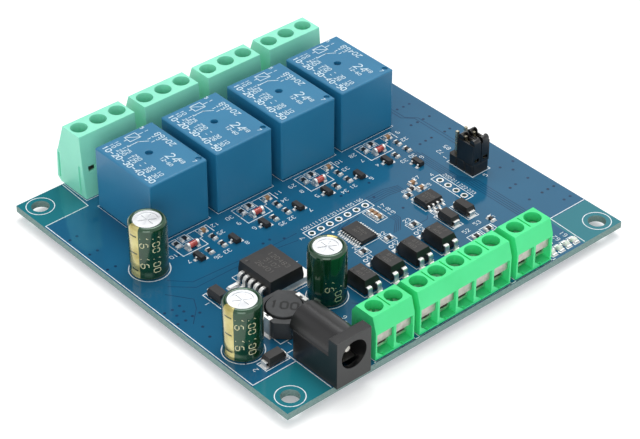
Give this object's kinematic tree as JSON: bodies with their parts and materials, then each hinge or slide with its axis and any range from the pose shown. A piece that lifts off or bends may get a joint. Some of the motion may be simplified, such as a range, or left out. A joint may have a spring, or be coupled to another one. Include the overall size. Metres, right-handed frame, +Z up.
{
  "type": "relay module board",
  "caption": "Relay module board with sealed relays, screw terminals along two edges, a power jack, a step-down supply and isolated inputs.",
  "frame": {"origin": "middle of the four mounting holes, on the board's underside", "axes": "+X along the low-voltage terminal edge to the right, +Y from that edge to the relays' output terminals, +Z up out of the component side"},
  "size_m": [0.094, 0.0934, 0.0189],
  "materials": {
    "solder_mask": "glossy blue solder mask over glass-fibre board",
    "solder": "bright solder",
    "tinned_copper": "tin-plated",
    "tinned_brass": "tin-plated brass",
    "zinc_plated_steel": "zinc-plated",
    "nickel_plated_brass": "nickel-plated",
    "pale_green_polyamide": "satin moulded",
    "bright_green_polyamide": "satin moulded",
    "relay_case": "satin moulded",
    "jack_pbt": "satin moulded",
    "can_aluminium": "drawn and bright",
    "pvc_sleeve": "shrunk glossy film",
    "epoxy_mould": "fine matt moulding",
    "ferrite": "ground ferrite",
    "enamelled_copper": "enamelled wire",
    "diode_glass": "clear glass over a red core",
    "thick_film": "glazed",
    "ceramic_chip": "fired ceramic",
    "led_epoxy": "milky lens",
    "gold_plated_pad": "thin gold plate",
    "gold_plated_pin": "thin gold plate",
    "header_nylon": "satin moulded",
    "jumper_pbt": "satin moulded"
  },
  "bodies": {
    "root": {"circuit_board": "solder_mask", "solder_joints": "solder", "relay_1": "relay_case", "relay_2": "relay_case", "relay_3": "relay_case", "relay_4": "relay_case", "relay_pins": "tinned_copper", "output_terminal_1": "pale_green_polyamide", "output_terminal_2": "pale_green_polyamide", "output_terminal_3": "pale_green_polyamide", "output_terminal_4": "pale_green_polyamide", "output_terminal_screws": "zinc_plated_steel", "output_terminal_clamps": "nickel_plated_brass", "output_terminal_pins": "tinned_brass", "power_terminal": "bright_green_polyamide", "input_terminal": "bright_green_polyamide", "bus_terminal": "bright_green_polyamide", "front_terminal_screws": "zinc_plated_steel", "front_terminal_clamps": "nickel_plated_brass", "front_terminal_pins": "tinned_brass", "dc_jack_housing": "jack_pbt", "dc_jack_centre_pin": "nickel_plated_brass", "dc_jack_sleeve_spring": "nickel_plated_brass", "dc_jack_switch_contact": "nickel_plated_brass", "capacitor_1": "can_aluminium", "capacitor_2": "can_aluminium", "capacitor_3": "can_aluminium", "capacitor_sleeves": "pvc_sleeve", "capacitor_leads": "tinned_copper", "regulator_body": "epoxy_mould", "regulator_tab": "tinned_copper", "regulator_leads": "tinned_copper", "inductor_core": "ferrite", "inductor_winding": "enamelled_copper", "inductor_shield": "ferrite", "inductor_terminals": "tinned_copper", "power_diodes": "epoxy_mould", "power_diode_leads": "tinned_copper", "microcontroller_body": "epoxy_mould", "microcontroller_leads": "tinned_copper", "transceiver_body": "epoxy_mould", "transceiver_leads": "tinned_copper", "optocoupler_1": "epoxy_mould", "optocoupler_2": "epoxy_mould", "optocoupler_3": "epoxy_mould", "optocoupler_4": "epoxy_mould", "optocoupler_leads": "tinned_copper", "transistor_bodies": "epoxy_mould", "transistor_leads": "tinned_copper", "glass_diodes": "diode_glass", "glass_diode_caps": "tinned_copper", "chip_resistors": "thick_film", "chip_capacitors": "ceramic_chip", "chip_terminations": "tinned_copper", "status_leds": "led_epoxy", "status_led_ends": "gold_plated_pad", "jumper_header_base": "header_nylon", "jumper_header_pins": "gold_plated_pin", "jumper_caps": "jumper_pbt", "jumper_clips": "nickel_plated_brass"}
  },
  "joints": []
}
